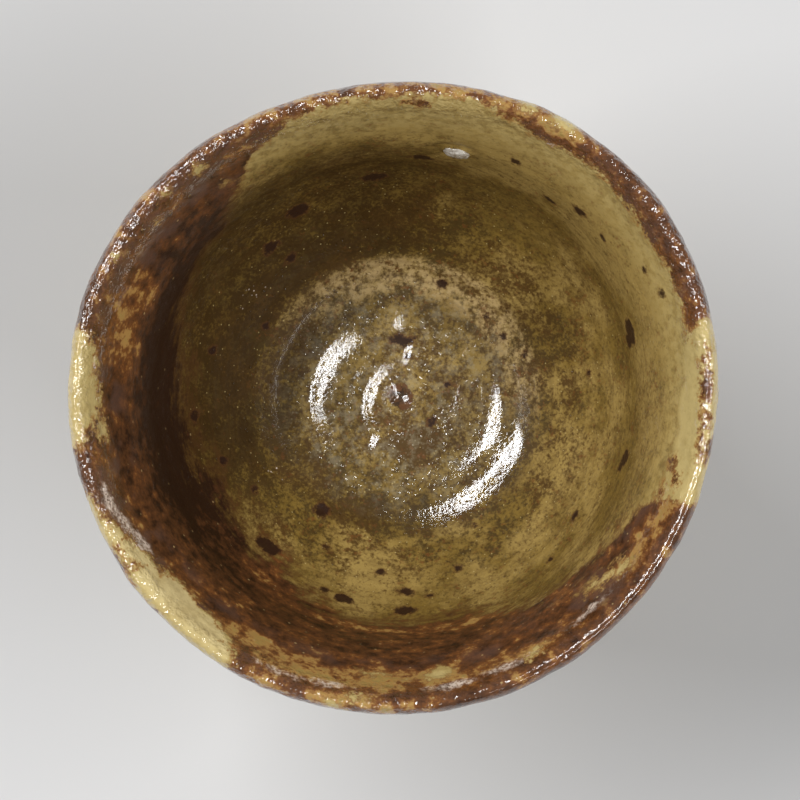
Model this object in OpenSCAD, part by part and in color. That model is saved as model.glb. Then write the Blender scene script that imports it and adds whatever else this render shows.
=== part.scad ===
// Sake cup (guinomi), thrown in stoneware, with an ash glaze inside and out and an
// iron glaze over the lip.
// It stands on z = 0 with its foot on the z axis. Angles turn from +X towards +Y.
// Five solids lie skin to skin: the clay, its luted foot ring and three stretches of glaze.
// Every curved surface is a loft of one wall outline, which runs from the edge of the
// base, up the outside, over the lip and down to the middle of the well.

/* [Cup] */
// Outer diameter of the mouth, glaze included
mouth_d = 64; // [54:1:76]
// Height from the foot to the highest point of the lip
cup_h = 42; // [36:1:52]
// Thickness of the lip
lip_t = 2.6; // [2:0.1:3.6]
// Thickness of the wall at its waist
wall_t = 4.4; // [3.4:0.1:6]
// Thickness of the floor, from the base to the bottom of the well
floor_t = 6; // [4.5:0.1:8]

/* [Foot ring] */
// Outer diameter of the ring where it stands
foot_d = 28; // [22:0.5:34]
// Height of the ring
foot_h = 4.5; // [3:0.1:7]
// Width of the ring where it stands
foot_w = 3; // [2:0.1:4.5]
// How far the ring's bore lies off its middle, so that one side is wider
foot_shift = 0.5; // [0:0.1:0.8]
// Width and height of the bevel round the ring's lower edges
foot_bevel = 0.6; // [0.3:0.1:0.9]
// Radius of the luting clay between the ring and the base
foot_fillet = 1.4; // [0.8:0.1:2]
// How far the base stands out past the luting clay
base_ledge = 0.5; // [0.3:0.1:1.2]
// Height of the turner's nub under the base, inside the ring
nub_under_h = 0.8; // [0.3:0.1:1.5]

/* [Throwing] */
// Distance from one turn of the throwing spiral to the next
ridge_pitch = 5; // [4:0.1:8]
// Height of the spiral's ridge in the well
ridge_h = 0.2; // [0.05:0.05:0.4]
// Height of the nub that the spiral ends in
nub_h = 0.5; // [0.2:0.1:1]
// Radius of that nub
nub_r = 2.6; // [2:0.1:4]
// How far the well's middle lies off the mouth's middle
well_shift = 0.6; // [0:0.1:1.2]
// How far the lip dips below its highest point
lip_dip = 0.7; // [0:0.1:1.2]

/* [Glaze] */
// Thickness of the glaze on the wall
glaze_t = 0.45; // [0.3:0.05:0.6]
// Thickness of the glaze where it pools in the well
pool_t = 0.9; // [0.5:0.05:1.2]
// Thickness of the bead where the glaze stops above the foot
bead_t = 0.75; // [0.5:0.05:1]
// Width of that bead
bead_w = 1.4; // [1:0.1:2]
// Shortest stretch of bare clay between the base and the glaze
bare_run = 3.4; // [2.4:0.1:5]
// How much further up the clay is bare where the glaze stops short
bare_wave = 1.6; // [0:0.1:2.4]
// How far the iron glaze reaches down outside, at its shortest
iron_out_run = 7; // [5:0.5:9]
// How much further it runs down outside, at its longest
iron_out_drop = 6; // [0:0.5:8]
// How far the iron glaze reaches down inside, where it only rims the lip
iron_in_run = 2.4; // [2.2:0.1:4]
// Share of the way down to the well that it reaches where it was dipped deepest
iron_dip_share = 0.56; // [0.3:0.01:0.62]

/* [Hidden] */

// Columns round the cup
columns = 56;
// Rows of each stretch, from the base edge over the lip to the well
bare_rows = 2;
ash_out_rows = 5;
iron_out_rows = 3;
iron_in_rows = 6;
ash_wall_rows = 9;
well_rows = 12;
// Steps along the outline for its table of lengths, in each span between two points
span_steps = 8;
// Steps round an arc of the foot ring's section
arc_steps = 6;
// How far a cut runs past the face it opens
overrun = 0.5;

mouth_r = mouth_d / 2;
foot_r = foot_d / 2;
base_r = foot_r + foot_fillet + base_ledge;
bowl_depth = cup_h - foot_h - floor_t;

// The mouth is not round: it bulges two, three and four times round by these shares of
// its radius
oval_share = 0.017;
oval_turn = 32;
trefoil_share = 0.0102;
trefoil_turn = 128;
square_share = 0.003;
square_turn = 211;
// Directions of the lip's dips, of the well's shift and of the wider side of the foot ring
dip_turn = 40;
shift_turn = 350;
foot_turn = 200;
// Direction in which the throwing spiral leaves the middle of the well
ridge_turn = 204;

// Outside, from the base edge up: [share of the way out from base_r to mouth_r,
// share of the way up from the base to the lip]
outside_shares = [[0, 0], [0.2, 0.085], [0.42, 0.215], [0.6, 0.37],
                  [0.73, 0.54], [0.81, 0.71], [0.895, 0.86], [0.985, 0.955]];
// The waist is this entry of the list above
waist_entry = 5;
// Inside the lip: [share of the way out from the bowl to the lip, share of the bowl's depth]
flare_shares = [[1, 0.042], [0.65, 0.146], [0.29, 0.267]];
// The bowl below it: [share of the bowl's radius, share of its depth]
bowl_shares = [[1, 0.43], [0.968, 0.54], [0.92, 0.645], [0.84, 0.745], [0.72, 0.832],
               [0.6, 0.904], [0.5, 0.943], [0.38, 0.964], [0.2, 0.987], [0, 0.997]];
// The crest of the lip lies this share of the lip's thickness in from its edge
crest_share = 0.42;

// Rows of the lip, as shares of its thickness either side of the crest
lip_row_shares = [-1, -0.55, -0.2, 0.15, 0.55];
// Rows of the iron glaze inside lie closer together near the lip, by this power
iron_row_power = 1.3;
// The well is this share of the way from its middle up to the crest of the lip
well_share = 0.32;
// Ridges on the wall and outside, as shares of the one in the well
wall_ridge_share = 0.35;
outside_ridge_share = 0.5;
// Shares of the way from the well's middle to the crest where ridges fade: out of the
// well, and up to the lip
well_fade_shares = [0.24, 0.4];
lip_fade_shares = [0.8, 0.95];
// Shares of the way down outside between which the outer ridges grow
outside_fade_shares = [0.12, 0.3];
// Thickness of the glaze on the lip, as a share of the one on the wall
lip_glaze_share = 0.75;
// The dipped side: [angle, share of the deepest reach of the iron glaze], and how softly
// its corners are rounded, in degrees
dip_shares = [[116, 0], [127, 0.29], [135, 0.48], [144, 0.59], [160, 0.68], [172, 0.84],
              [206, 0.93], [234, 0.97], [241, 0.92], [255, 0.78], [282, 0.76], [292, 0.71],
              [309, 0.39], [323, 0.35], [336, 0.23], [344, 0]];
dip_softness = 9;
// Radius of the nub under the base as a share of the foot ring's bore
under_nub_share = 0.4;
// How much narrower the ring's bore is at the top than at its foot, as a share of its width
bore_taper_share = 0.25;

// Outline of the wall

function outside_point(share) =
    [base_r + (mouth_r - base_r) * share.x, foot_h + (cup_h - foot_h) * share.y];
bowl_r = outside_point(outside_shares[waist_entry]).x - wall_t;
lip_in_r = mouth_r - lip_t;
function flare_point(share) =
    [bowl_r + (lip_in_r - bowl_r) * share.x, cup_h - bowl_depth * share.y];
function bowl_point(share) = [bowl_r * share.x, cup_h - bowl_depth * share.y];
function mirrored(p) = [-p.x, p.y];

wall_points = concat(
    [for (s = outside_shares) outside_point(s)],
    [[mouth_r - lip_t * crest_share, cup_h]],
    [for (s = flare_shares) flare_point(s)],
    [for (s = bowl_shares) bowl_point(s)]);
crest_entry = len(outside_shares);
last_entry = len(wall_points) - 1;

// Point on the curve through the wall points. Past the well's middle it goes on mirrored
function wall_entry(i) =
    i < 0 ? 2 * wall_points[0] - wall_points[1]
    : i > last_entry ? mirrored(wall_points[2 * last_entry - i])
    : wall_points[i];
function wall_curve(u) =
    let (i = min(max(floor(u), 0), last_entry - 1), f = u - i,
         a = wall_entry(i - 1), b = wall_entry(i),
         c = wall_entry(i + 1), d = wall_entry(i + 2))
    b + ((c - a) * f + (2 * a - 5 * b + 4 * c - d) * f ^ 2
         + (3 * b - a - 3 * c + d) * f ^ 3) / 2;

// Length along the curve at each step, from the base edge
length_steps = last_entry * span_steps;
lengths = [for (i = 0, l = 0; i <= length_steps;
                l = l + norm(wall_curve((i + 1) / span_steps) - wall_curve(i / span_steps)),
                i = i + 1) l];
outside_run = lengths[crest_entry * span_steps];
inside_run = lengths[length_steps] - outside_run;
// Runs are counted from the crest of the lip: below zero outside and above it inside
entry_of_run = [for (i = [0 : length_steps]) [lengths[i] - outside_run, i / span_steps]];
function wall_at(run) = wall_curve(lookup(run, entry_of_run));
// Half the stretch of wall over which its direction is measured, as a share of the lip
normal_share = 0.1;
function wall_normal(run) =
    let (step = lip_t * normal_share,
         low = max(run - step, -outside_run), high = min(run + step, inside_run),
         t = wall_at(high) - wall_at(low))
    run >= inside_run ? [0, 1] : [t.y, -t.x] / norm(t);

// Throwing marks and glaze

function smooth(x) = x <= 0 ? 0 : x >= 1 ? 1 : x * x * (3 - 2 * x);
function between(x, shares) = smooth((x - shares[0]) / (shares[1] - shares[0]));
function blend(a, b, x) = a + (b - a) * x;

// How far the inner skin stands out of the plain outline: a spiral ridge and its nub
function inner_marks(angle, run) =
    let (from_middle = inside_run - run, share = from_middle / inside_run,
         grown = smooth(from_middle / nub_r),
         height = ridge_h * grown * blend(1, wall_ridge_share, between(share, well_fade_shares))
                  * (1 - between(share, lip_fade_shares)))
    height * cos(360 * from_middle / ridge_pitch + ridge_turn - angle)
    + nub_h * (1 - smooth(from_middle / nub_r));
function outer_marks(angle, run) =
    let (share = -run / outside_run)
    ridge_h * outside_ridge_share * between(share, outside_fade_shares)
    * (1 - smooth(2 * share - 1)) * cos(360 * run / ridge_pitch + angle);
function marks(angle, run) = run > 0 ? inner_marks(angle, run) : outer_marks(angle, run);

function wave(angle) = (1 - cos(2 * angle + dip_turn)) / 2;
function glaze_line(angle) = -outside_run + bare_run + bare_wave * wave(angle);
function dipped(angle) =
    (lookup(angle - dip_softness, dip_shares) + lookup(angle, dip_shares)
     + lookup(angle + dip_softness, dip_shares)) / 3;
function iron_in(angle) = blend(iron_in_run, iron_dip_share * inside_run, dipped(angle));
function iron_out(angle) =
    -iron_out_run - iron_out_drop * (wave(angle + foot_turn) + wave(3 * angle)) / 2;

// Thickness of the glaze: a bead where it stops, thin on the lip and pooled in the well
function glaze(angle, run) =
    let (up = run - glaze_line(angle),
         thin = blend(lip_glaze_share, 1, smooth(abs(run) / lip_t - 1)),
         pooled = between(1 - run / inside_run, well_fade_shares))
    up < bead_w / 2 ? bead_t * smooth(2 * up / bead_w)
    : run < 0 ? blend(bead_t, glaze_t * thin, smooth((up - bead_w / 2) / bead_w))
    : blend(pool_t, glaze_t * thin, pooled);

// Puts a point of the wall at its place round the cup: the mouth is oval, the lip dips,
// and the well lies off the middle
function placed(angle, run, out) =
    let (p = wall_at(run) + out * wall_normal(run),
         up = max(p.y - foot_h, 0) / (cup_h - foot_h),
         oval = 1 + up ^ 2 * (oval_share * cos(2 * angle - oval_turn)
                              + trefoil_share * cos(3 * angle - trefoil_turn)
                              + square_share * cos(4 * angle - square_turn)),
         drop = lip_dip * up ^ 3 * (1 - cos(3 * angle - dip_turn)) / 2,
         shift = well_shift * smooth(run / inside_run))
    [p.x * oval * cos(angle) + shift * cos(shift_turn),
     p.x * oval * sin(angle) + shift * sin(shift_turn), p.y - drop];
function skin(angle, run) = placed(angle, run, marks(angle, run));
function clay(angle, run) = placed(angle, run, marks(angle, run) - glaze(angle, run));

// Rows of the loft, each as the run at which it crosses a column

function steps(a, b, rows, power = 1) =
    [for (i = [1 : rows]) blend(a, b, (i / rows) ^ power)];
function bare_runs(angle) = steps(-outside_run, glaze_line(angle), bare_rows);
function ash_out_runs(angle) =
    let (line = glaze_line(angle))
    concat([line + bead_w / 2], steps(line + bead_w, iron_out(angle), ash_out_rows));
function iron_runs(angle) =
    let (lip = lip_t * lip_row_shares, n = len(lip) - 1)
    concat(steps(iron_out(angle), lip[0], iron_out_rows),
           [for (i = [1 : n]) lip[i]],
           steps(lip[n], iron_in(angle), iron_in_rows, iron_row_power));
function ash_in_runs(angle) =
    let (well_run = (1 - well_share) * inside_run,
         well = steps(well_run, inside_run, well_rows + 1))
    concat(steps(iron_in(angle), well_run, ash_wall_rows),
           [for (i = [0 : well_rows - 1]) well[i]]);

function angle_of(column) = 360 * column / columns;
function turned_rows(rows) =
    [for (i = [0 : len(rows[0]) - 1]) [for (j = [0 : columns - 1]) rows[j][i]]];
function skin_rows(rows) =
    turned_rows([for (j = [0 : columns - 1]) [for (run = rows[j]) skin(angle_of(j), run)]]);
function clay_rows(rows) =
    turned_rows([for (j = [0 : columns - 1]) [for (run = rows[j]) clay(angle_of(j), run)]]);
function reversed(list) = [for (i = [len(list) - 1 : -1 : 0]) list[i]];

bare = [for (j = [0 : columns - 1]) bare_runs(angle_of(j))];
ash_out = [for (j = [0 : columns - 1]) ash_out_runs(angle_of(j))];
iron = [for (j = [0 : columns - 1]) iron_runs(angle_of(j))];
ash_in = [for (j = [0 : columns - 1]) ash_in_runs(angle_of(j))];
line_row = [for (j = [0 : columns - 1]) [glaze_line(angle_of(j))]];
iron_out_row = [for (j = [0 : columns - 1]) [iron_out(angle_of(j))]];
iron_in_row = [for (j = [0 : columns - 1]) [iron_in(angle_of(j))]];
well_skin = skin(0, inside_run);
well_clay = clay(0, inside_run);

// Faces between two rings of points, wound clockwise as seen from outside. Rings taken in
// reverse order are split along the other diagonal, so that skins that touch match
function band(a, b, crossed) =
    [for (j = [0 : columns - 1])
        let (k = (j + 1) % columns)
        each crossed ? [[a + j, b + j, a + k], [a + k, b + j, b + k]]
                     : [[a + j, b + j, b + k], [a + j, b + k, a + k]]];
function fan(ring, middle, first) =
    [for (j = [0 : columns - 1])
        let (k = (j + 1) % columns)
        first ? [middle, ring + j, ring + k] : [ring + j, middle, ring + k]];

// Solid through rings of points, from the first middle point to the last one. With no
// middle points the last ring joins the first. Bands from the turn on are in reverse order
module loft(rings, first, last, turn) {
    count = len(rings);
    closed = is_undef(first);
    straight = is_undef(turn) ? count : turn;
    points = concat([for (ring = rings) each ring], closed ? [] : [first, last]);
    bands = [for (i = [0 : closed ? count - 1 : count - 2])
        each band(i * columns, (i + 1) % count * columns, i >= straight)];
    ends = closed ? []
        : concat(fan(0, count * columns, true),
                 fan((count - 1) * columns, count * columns + 1, false));
    polyhedron(points, concat(bands, ends), convexity = 10);
}

function flat_ring(r, z) =
    [for (j = [0 : columns - 1]) [r * cos(angle_of(j)), r * sin(angle_of(j)), z]];

// The thrown wall and floor. Its base is flat where the foot ring is luted on
module clay_body() {
    nub = under_nub_share * (foot_r - foot_w);
    color("#8a6a4c")
    loft(concat([flat_ring(nub, foot_h), flat_ring(base_r, foot_h)],
                clay_rows(bare), clay_rows(ash_out), clay_rows(iron), clay_rows(ash_in)),
         first = [0, 0, foot_h - nub_under_h], last = well_clay);
}

function arc(middle, r, from, to) =
    [for (i = [0 : arc_steps])
        let (a = blend(from, to, i / arc_steps)) middle + r * [cos(a), sin(a)]];

// The foot ring: bevelled where it stands, with a hollow of luting clay under the base.
// Its bore lies off its middle
module foot_ring() {
    bore_r = foot_r - foot_w;
    top_bore_r = bore_r - foot_w * bore_taper_share;
    taper = (bore_r - top_bore_r) / foot_h;
    color("#8a6a4c")
    difference() {
        rotate_extrude($fn = 96)
            polygon(concat([[0, 0], [foot_r - foot_bevel, 0], [foot_r, foot_bevel]],
                           arc([foot_r + foot_fillet, foot_h - foot_fillet], foot_fillet, 180, 90),
                           [[0, foot_h]]));
        translate(foot_shift * [cos(foot_turn), sin(foot_turn), 0])
            rotate_extrude($fn = 96)
                polygon([[0, -overrun], [bore_r + foot_bevel + overrun, -overrun],
                         [bore_r, foot_bevel],
                         [top_bore_r - taper * overrun, foot_h + overrun], [0, foot_h + overrun]]);
    }
}

// The ash glaze inside, from the edge of the iron glaze down to its pool in the well
module ash_glaze_inside() {
    runs = [for (j = [0 : columns - 1]) concat(iron_in_row[j], ash_in[j])];
    under = reversed(clay_rows(runs));
    color("#9a8a48")
    loft(concat(under, skin_rows(runs)), first = well_clay, last = well_skin, turn = 0);
}

// The iron glaze, over the lip and down the dipped side of the bowl
module iron_glaze_lip() {
    runs = [for (j = [0 : columns - 1]) concat(iron_out_row[j], iron[j])];
    over = skin_rows(runs);
    color("#5a3018")
    loft(concat(over, reversed(clay_rows(runs))), turn = len(over));
}

// The ash glaze outside, from its bead above the foot up to the iron glaze
module ash_glaze_outside() {
    runs = [for (j = [0 : columns - 1]) ash_out[j]];
    over = skin_rows(runs);
    color("#a08c48")
    loft(concat(clay_rows(line_row), over, reversed(clay_rows(runs))), turn = len(over) + 1);
}

clay_body();
foot_ring();
ash_glaze_inside();
iron_glaze_lip();
ash_glaze_outside();
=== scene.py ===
"""Guinomi sake cup: thrown stoneware with an ash glaze and an iron glaze over the lip.

Every glazed surface is cut from one skin, a fine grid that follows the wall's outline from
the edge of the base, up the outside, over the lip and down to the middle of the well. The
outline and the glazes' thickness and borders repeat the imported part's own formulas, and the
throwing marks are finer than its own. Angles turn from +X towards +Y. "run" is the way along
the outline, counted from the crest of the lip: below zero outside and above it inside, and
"middle" is the way from the middle of the well. Shapes are in millimetres until a mesh is
made.
"""
import math
import bpy
import numpy as np
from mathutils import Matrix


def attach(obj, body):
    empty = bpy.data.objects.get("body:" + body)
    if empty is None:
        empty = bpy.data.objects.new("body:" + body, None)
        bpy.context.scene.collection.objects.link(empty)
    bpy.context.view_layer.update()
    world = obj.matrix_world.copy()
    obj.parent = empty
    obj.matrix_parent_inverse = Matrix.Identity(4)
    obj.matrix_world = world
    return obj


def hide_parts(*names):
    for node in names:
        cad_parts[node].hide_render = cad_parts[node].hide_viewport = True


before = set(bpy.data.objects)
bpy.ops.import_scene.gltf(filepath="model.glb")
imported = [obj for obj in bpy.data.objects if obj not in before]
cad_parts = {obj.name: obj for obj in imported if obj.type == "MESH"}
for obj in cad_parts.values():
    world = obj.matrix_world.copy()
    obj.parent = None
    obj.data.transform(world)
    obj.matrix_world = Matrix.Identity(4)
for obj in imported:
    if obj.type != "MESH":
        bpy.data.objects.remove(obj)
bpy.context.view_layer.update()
MM = 0.001

# ---------------------------------------------------------------- sizes of the part, mm
MOUTH_R = 32.0
CUP_H = 42.0
LIP_T = 2.6
WALL_T = 4.4
FLOOR_T = 6.0
FOOT_R = 14.0
FOOT_H = 4.5
FOOT_W = 3.0
FOOT_SHIFT = 0.5
FOOT_BEVEL = 0.6
FOOT_FILLET = 1.4
BASE_LEDGE = 0.5
NUB_UNDER_H = 0.8
NUB_H = 0.5
NUB_R = 2.6
WELL_SHIFT = 0.6
LIP_DIP = 0.7
GLAZE_T = 0.45
POOL_T = 0.9
BEAD_T = 0.75
BEAD_W = 1.4
BARE_RUN = 3.4
BARE_WAVE = 1.6
IRON_OUT_RUN = 7.0
IRON_OUT_DROP = 6.0
IRON_IN_RUN = 2.4
IRON_DIP = 0.56
BASE_R = FOOT_R + FOOT_FILLET + BASE_LEDGE
BORE_R = FOOT_R - FOOT_W
DEPTH = CUP_H - FOOT_H - FLOOR_T
# How far the mouth is out of round, as shares of its radius, and where each shape points
OVAL_SHARE, OVAL_TURN = 0.017, 32
TREFOIL_SHARE, TREFOIL_TURN = 0.0102, 128
SQUARE_SHARE, SQUARE_TURN = 0.003, 211
# The directions of the lip's dip, of the well's shift and of the bore's shift
DIP_TURN = 40
SHIFT_TURN = 350
FOOT_TURN = 200
# Trimming rings and nub under the base, the bore's taper, and the spacing of the foot ring's points
TRIM_H, TRIM_PITCH = 0.07, 1.9
UNDER_NUB_SHARE = 0.4
BORE_TAPER_SHARE = 0.25
FOOT_STEP = 0.16

# Columns round the cup, density of the rows, and rows of each glaze's underside and of the hidden wall
COLUMNS = 480
DENSITY = 1.0
UNDER_ROWS = {"ash_in": 14, "iron": 26, "ash_out": 12, "wall": 90}
# Runs between which the rows lie closest on the lip, where the well's rows start, and the gap in the middle
LIP_FROM, LIP_TO, WELL_FROM, MIDDLE_GAP = -4, 2, 30, 0.25
# What a field says far outside the shapes that it holds
FAR_OUT = -9.0

# ---------------------------------------------------------------- outline of the wall
OUTSIDE = [[0, 0], [0.2, 0.085], [0.42, 0.215], [0.6, 0.37],
           [0.73, 0.54], [0.81, 0.71], [0.895, 0.86], [0.985, 0.955]]
WAIST = 5
FLARE = [[1, 0.042], [0.65, 0.146], [0.29, 0.267]]
BOWL = [[1, 0.43], [0.968, 0.54], [0.92, 0.645], [0.84, 0.745], [0.72, 0.832],
        [0.6, 0.904], [0.5, 0.943], [0.38, 0.964], [0.2, 0.987], [0, 0.997]]
CREST_SHARE = 0.42
SPAN_STEPS = 16


def outside_point(share):
    return [BASE_R + (MOUTH_R - BASE_R) * share[0], FOOT_H + (CUP_H - FOOT_H) * share[1]]


BOWL_R = outside_point(OUTSIDE[WAIST])[0] - WALL_T
LIP_IN_R = MOUTH_R - LIP_T
WALL = np.array(
    [outside_point(s) for s in OUTSIDE]
    + [[MOUTH_R - LIP_T * CREST_SHARE, CUP_H]]
    + [[BOWL_R + (LIP_IN_R - BOWL_R) * s[0], CUP_H - DEPTH * s[1]] for s in FLARE]
    + [[BOWL_R * s[0], CUP_H - DEPTH * s[1]] for s in BOWL])
LAST = len(WALL) - 1
WALL_MORE = np.vstack([2 * WALL[0] - WALL[1], WALL, WALL[LAST - 1] * [-1, 1], WALL[LAST - 2] * [-1, 1]])


def wall_curve(u):
    i = np.clip(np.floor(u), 0, LAST - 1).astype(int)
    f = (u - i)[..., None]
    a, b, c, d = (WALL_MORE[i + k] for k in range(4))
    return b + ((c - a) * f + (2 * a - 5 * b + 4 * c - d) * f ** 2 + (3 * b - a - 3 * c + d) * f ** 3) / 2


ENTRIES = np.arange(LAST * SPAN_STEPS + 1) / SPAN_STEPS
STEPS = np.linalg.norm(np.diff(wall_curve(ENTRIES), axis=0), axis=1)
LENGTHS = np.concatenate([[0], np.cumsum(STEPS)])
OUT_RUN = LENGTHS[len(OUTSIDE) * SPAN_STEPS]
IN_RUN = LENGTHS[-1] - OUT_RUN


def wall_at(run):
    return wall_curve(np.interp(run, LENGTHS - OUT_RUN, ENTRIES))


def wall_normal(run):
    step = LIP_T * 0.1
    t = wall_at(np.minimum(run + step, IN_RUN)) - wall_at(np.maximum(run - step, -OUT_RUN))
    n = np.stack([t[..., 1], -t[..., 0]], -1) / np.linalg.norm(t, axis=-1)[..., None]
    return np.where((run >= IN_RUN - 1e-6)[..., None], [0.0, 1.0], n)


# ---------------------------------------------------------------- helpers
def smooth(x):
    x = np.clip(x, 0, 1)
    return x * x * (3 - 2 * x)


def between(x, a, b):
    return smooth((x - a) / (b - a))


def cosd(angle):
    return np.cos(np.radians(angle))


def sind(angle):
    return np.sin(np.radians(angle))


def value_noise(points, cell, seed):
    """Smooth noise from -1 to 1 with features about one cell (mm) wide."""
    table = np.random.default_rng(seed).random(8192) * 2 - 1
    q = points / cell
    low = np.floor(q).astype(np.int64)
    f = q - low
    f = f * f * (3 - 2 * f)
    total = np.zeros(q.shape[:-1])
    for corner in range(8):
        step = [(corner >> k) & 1 for k in range(3)]
        key = np.zeros(q.shape[:-1], np.int64)
        weight = np.ones(q.shape[:-1])
        for k, prime in enumerate((73856093, 19349663, 83492791)):
            key ^= (low[..., k] + step[k]) * prime
            weight = weight * (f[..., k] if step[k] else 1 - f[..., k])
        total += table[key & 8191] * weight
    return total


def apart(a, b):
    """Difference of two angles in degrees, from -180 to 180."""
    return (a - b + 180) % 360 - 180


def off(angle, centre):
    """How many degrees an angle lies off a centre, to either side."""
    return np.abs(apart(angle, centre))


# ---------------------------------------------------------------- glaze borders and thickness
DIP_SHARES = np.array([[116, 0], [127, 0.29], [135, 0.48], [144, 0.59], [160, 0.68], [172, 0.84],
                       [206, 0.93], [234, 0.97], [241, 0.92], [255, 0.78], [282, 0.76], [292, 0.71],
                       [309, 0.39], [323, 0.35], [336, 0.23], [344, 0]])
DIP_SOFTNESS = 9.0
# The glaze's share of its thickness on the lip, and where it thickens into the well's pool
LIP_GLAZE_SHARE = 0.75
WELL_FADE = (0.24, 0.4)


def wave(angle):
    return (1 - cosd(2 * angle + DIP_TURN)) / 2


def glaze_line(angle):
    return -OUT_RUN + BARE_RUN + BARE_WAVE * wave(angle)


def iron_in(angle):
    share = sum(np.interp(angle + k * DIP_SOFTNESS, DIP_SHARES[:, 0], DIP_SHARES[:, 1])
                for k in (-1, 0, 1)) / 3
    return IRON_IN_RUN + (IRON_DIP * IN_RUN - IRON_IN_RUN) * share


def drips(angle):
    """How far the iron glaze runs down the outside, as a share of its drop."""
    return (wave(angle + FOOT_TURN) + wave(3 * angle)) / 2


def iron_out(angle):
    return -IRON_OUT_RUN - IRON_OUT_DROP * drips(angle)


def glaze(angle, run):
    """Thickness of the glaze: a bead where it stops, thin on the lip and pooled in the well."""
    up = run - glaze_line(angle)
    thin = LIP_GLAZE_SHARE + (1 - LIP_GLAZE_SHARE) * smooth(np.abs(run) / LIP_T - 1)
    pooled = between(1 - run / IN_RUN, *WELL_FADE)
    bead = BEAD_T * smooth(2 * up / BEAD_W)
    outer = BEAD_T + (GLAZE_T * thin - BEAD_T) * smooth((up - BEAD_W / 2) / BEAD_W)
    inner = POOL_T + (GLAZE_T * thin - POOL_T) * pooled
    return np.where(up < BEAD_W / 2, bead, np.where(run < 0, outer, inner))


# ---------------------------------------------------------------- throwing marks
# The spiral's turns in the well: [way from the middle, angle that the ridge has come to]
SPIRAL = np.array([[0, -190], [3.0, 50], [4.2, 140], [7.0, 379], [8.8, 460], [10.1, 600],
                   [12.6, 945], [18, 1300], [50, 3400]])
SPIRAL_H = 0.05
# Ripples of the outer wall, the shares of its run where they fade in, and the groove round the well
RIPPLE_H, RIPPLE_PITCH = 0.1, 5.2
OUTSIDE_FADE = (0.12, 0.3)
GROOVE_H, GROOVE_W = 0.05, 0.85
# How many degrees the finger steps take to fade in and out at their ends
FINGER_FADE = 14
# Steps that the fingers left in the well: points [angle, way from the middle], rise, width, width of the fall
FINGER_STEPS = [
    ([[84, 6.6], [109, 7.0], [130, 7.7], [147, 8.1], [187, 8.8], [212, 8.6], [270, 9.0]], 0.29, 2.4, 3.4),
    ([[74, 3.9], [94, 3.6], [130, 3.2], [166, 2.9], [190, 3.3], [215, 4.1], [246, 4.9]], 0.34, 1.8, 2.4),
    ([[258, 8.7], [272, 8.6], [303, 8.3], [320, 9.0], [340, 9.7]], 0.05, 2.0, 3.0),
    ([[321, 11.4], [330, 11.0], [345, 10.3], [354, 9.7], [366, 8.9], [378, 8.2], [402, 7.2]], 0.22, 2.4, 3.0),
    ([[15, 4.9], [40, 4.7], [60, 4.4]], 0.16, 1.2, 2.2)]
# Where the floor of the well turns up into the wall: [angle, way from the middle]
WELL_EDGE = np.array([[0, 11.7], [20, 11.9], [45, 12.6], [90, 12.8], [200, 12.7], [270, 12.6],
                      [293, 13.4], [316, 14.4], [338, 13.4], [354, 11.9], [360, 11.7]])
# How far out the well is as glossy as glass: [angle, way from the middle]
GLOSSY = np.array([[0, 10.8], [90, 10.6], [250, 10.6], [275, 14], [338, 14], [352, 11.2], [360, 10.8]])
# The burst grain and the crater of the largest spot: (angle, run)
GRAIN = (76.0, 12.0)
CRATER = (235.5, 34.5)


def local(angle, run, place):
    """Millimetres round the wall and along the run from a place that starts with angle and run."""
    radius = max(wall_at(np.array([float(place[1])]))[0, 0], 0.5)
    return np.radians(apart(angle, place[0])) * radius, run - place[1]


def near(angle, run, place, reach=1.0):
    """Distance in mm along the surface from a place, shortened by reach round the wall."""
    u, v = local(angle, run, place)
    return np.hypot(u / reach, v)


def marks(angle, run):
    """How far the skin stands out of the plain outline, in mm."""
    middle = IN_RUN - run
    turned = np.interp(middle, SPIRAL[:, 0], SPIRAL[:, 1])
    height = SPIRAL_H * smooth(middle / 1.6) * (1 - 0.4 * between(middle, 9.0, 11.5)) * between(run, 2.0, 9.0)
    inside = height * cosd(turned - angle) + NUB_H * (1 - smooth(middle / NUB_R))
    for line, rise, width, fall in FINGER_STEPS:
        line = np.array(line, float)
        from_first = (angle - line[0, 0]) % 360
        turn = line[-1, 0] - line[0, 0]
        way = middle - np.interp(from_first, line[:, 0] - line[0, 0], line[:, 1])
        ends = smooth(from_first / FINGER_FADE) * smooth((turn - from_first) / FINGER_FADE)
        inside = inside + rise * ends * smooth(way / width + 0.5) * (1 - smooth((way - width / 2) / fall))
    edge = middle - np.interp(angle % 360, WELL_EDGE[:, 0], WELL_EDGE[:, 1])
    sharp = GROOVE_H + GROOVE_H * between(off(angle, 315), 38, 60)
    inside = inside - sharp * np.exp(-(edge / GROOVE_W) ** 2)
    share = -run / OUT_RUN
    outside = RIPPLE_H * between(share, *OUTSIDE_FADE) * (1 - smooth(2 * share - 1)) \
        * cosd(360 * run / RIPPLE_PITCH + angle)
    return np.where(run > 0, inside, outside)


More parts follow.
